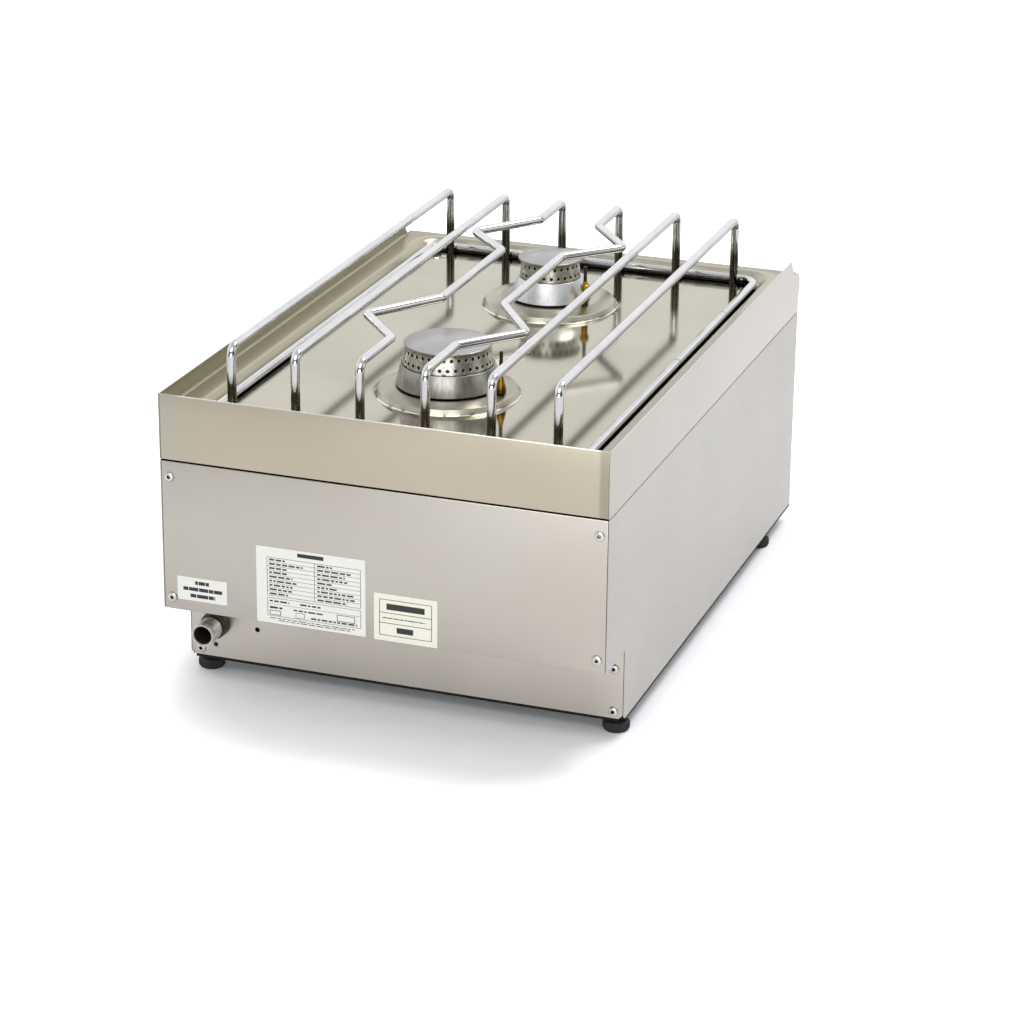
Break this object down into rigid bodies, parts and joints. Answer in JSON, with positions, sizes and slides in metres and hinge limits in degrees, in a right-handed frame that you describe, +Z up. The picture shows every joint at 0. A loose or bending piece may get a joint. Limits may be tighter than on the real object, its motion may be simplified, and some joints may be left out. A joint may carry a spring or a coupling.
{
  "type": "two-burner gas stove",
  "caption": "Low tabletop gas stove with two burners in a pressed well, bent-rod pan support, steel casing, front knobs and a rear gas inlet.",
  "frame": {"origin": "centre of the bounding box, on the surface that the feet stand on", "axes": "+Z up; -Y towards the front with the knobs, +Y towards the gas inlet; +X to the right of someone who faces the knobs"},
  "size_m": [0.4, 0.6265, 0.3179],
  "materials": {
    "stainless": "fine-brushed stainless sheet",
    "zinc_steel": "galvanised steel",
    "screw_steel": "plain steel",
    "chromed_rod": "bright chrome-plated round rod",
    "cast_aluminium": "turned cast aluminium",
    "ring_alloy": "machined alloy with drilled ports",
    "cap_steel": "satin steel",
    "brass": "machined brass",
    "nickel_steel": "nickel-plated steel",
    "feed_tube": "drawn aluminium tube",
    "probe": "heat-darkened steel",
    "knob_plastic": "black heat-resistant plastic",
    "rubber": "black rubber",
    "white_label": "blank white film",
    "cream_label": "blank cream film"
  },
  "bodies": {
    "stove": {"worktop": "stainless", "left_side_panel": "stainless", "right_side_panel": "stainless", "rear_panel": "stainless", "plinth_panel": "stainless", "control_panel": "stainless", "base_pan": "zinc_steel", "front_bridge": "zinc_steel", "rear_bridge": "zinc_steel", "manifold_clamps": "zinc_steel", "supply_pipe": "zinc_steel", "manifold": "zinc_steel", "rear_panel_screws": "screw_steel", "plinth_panel_screws": "screw_steel", "foot_bolts": "screw_steel", "rear_burner_body": "cast_aluminium", "front_burner_body": "cast_aluminium", "rear_mixing_tube": "cast_aluminium", "front_mixing_tube": "cast_aluminium", "left_valve": "brass", "right_valve": "brass", "rear_injector": "brass", "front_injector": "brass", "rear_probe_gland": "brass", "front_probe_gland": "brass", "gas_inlet": "nickel_steel", "inlet_locknut": "nickel_steel", "left_bezel": "nickel_steel", "right_bezel": "nickel_steel", "left_feed_tube": "feed_tube", "right_feed_tube": "feed_tube", "rear_thermocouple": "probe", "front_thermocouple": "probe", "rear_left_foot": "rubber", "rear_right_foot": "rubber", "front_left_foot": "rubber", "front_right_foot": "rubber", "rating_plate": "white_label", "gas_label": "white_label", "inspection_label": "cream_label"},
    "pan_support": {"support_frame": "chromed_rod", "support_rod_1": "chromed_rod", "support_rod_2": "chromed_rod", "support_rod_3": "chromed_rod", "support_rod_4": "chromed_rod", "support_rod_5": "chromed_rod", "support_rod_6": "chromed_rod"},
    "rear_ring": {"rear_flame_ring": "ring_alloy"},
    "rear_cap": {"rear_burner_cap": "cap_steel"},
    "front_ring": {"front_flame_ring": "ring_alloy"},
    "front_cap": {"front_burner_cap": "cap_steel"},
    "left_plug": {"left_valve_plug": "brass"},
    "left_control": {"left_spindle": "nickel_steel", "left_knob": "knob_plastic"},
    "right_plug": {"right_valve_plug": "brass"},
    "right_control": {"right_spindle": "nickel_steel", "right_knob": "knob_plastic"}
  },
  "joints": [
    {"name": "left_knob_turn", "type": "hinge", "parent": "stove", "child": "left_plug", "pos_m": [-0.09, -0.28535, 0.14], "axis": [0, -1, 0], "range_deg": [0, 190]},
    {"name": "left_knob_push", "type": "slide", "parent": "left_plug", "child": "left_control", "axis": [0, 1, 0], "range_m": [0, 0.004], "stiffness_N_per_m": 2500, "springref_m": -0.002},
    {"name": "right_knob_turn", "type": "hinge", "parent": "stove", "child": "right_plug", "pos_m": [0.09, -0.28535, 0.14], "axis": [0, -1, 0], "range_deg": [0, 190]},
    {"name": "right_knob_push", "type": "slide", "parent": "right_plug", "child": "right_control", "axis": [0, 1, 0], "range_m": [0, 0.004], "stiffness_N_per_m": 2500, "springref_m": -0.002},
    {"name": "pan_support_lift", "type": "slide", "parent": "stove", "child": "pan_support", "axis": [0, 0, 1], "range_m": [0, 0.1]},
    {"name": "rear_ring_lift", "type": "slide", "parent": "stove", "child": "rear_ring", "axis": [0, 0, 1], "range_m": [0, 0.03]},
    {"name": "rear_cap_lift", "type": "slide", "parent": "rear_ring", "child": "rear_cap", "axis": [0, 0, 1], "range_m": [0, 0.02]},
    {"name": "front_ring_lift", "type": "slide", "parent": "stove", "child": "front_ring", "axis": [0, 0, 1], "range_m": [0, 0.03]},
    {"name": "front_cap_lift", "type": "slide", "parent": "front_ring", "child": "front_cap", "axis": [0, 0, 1], "range_m": [0, 0.02]}
  ]
}
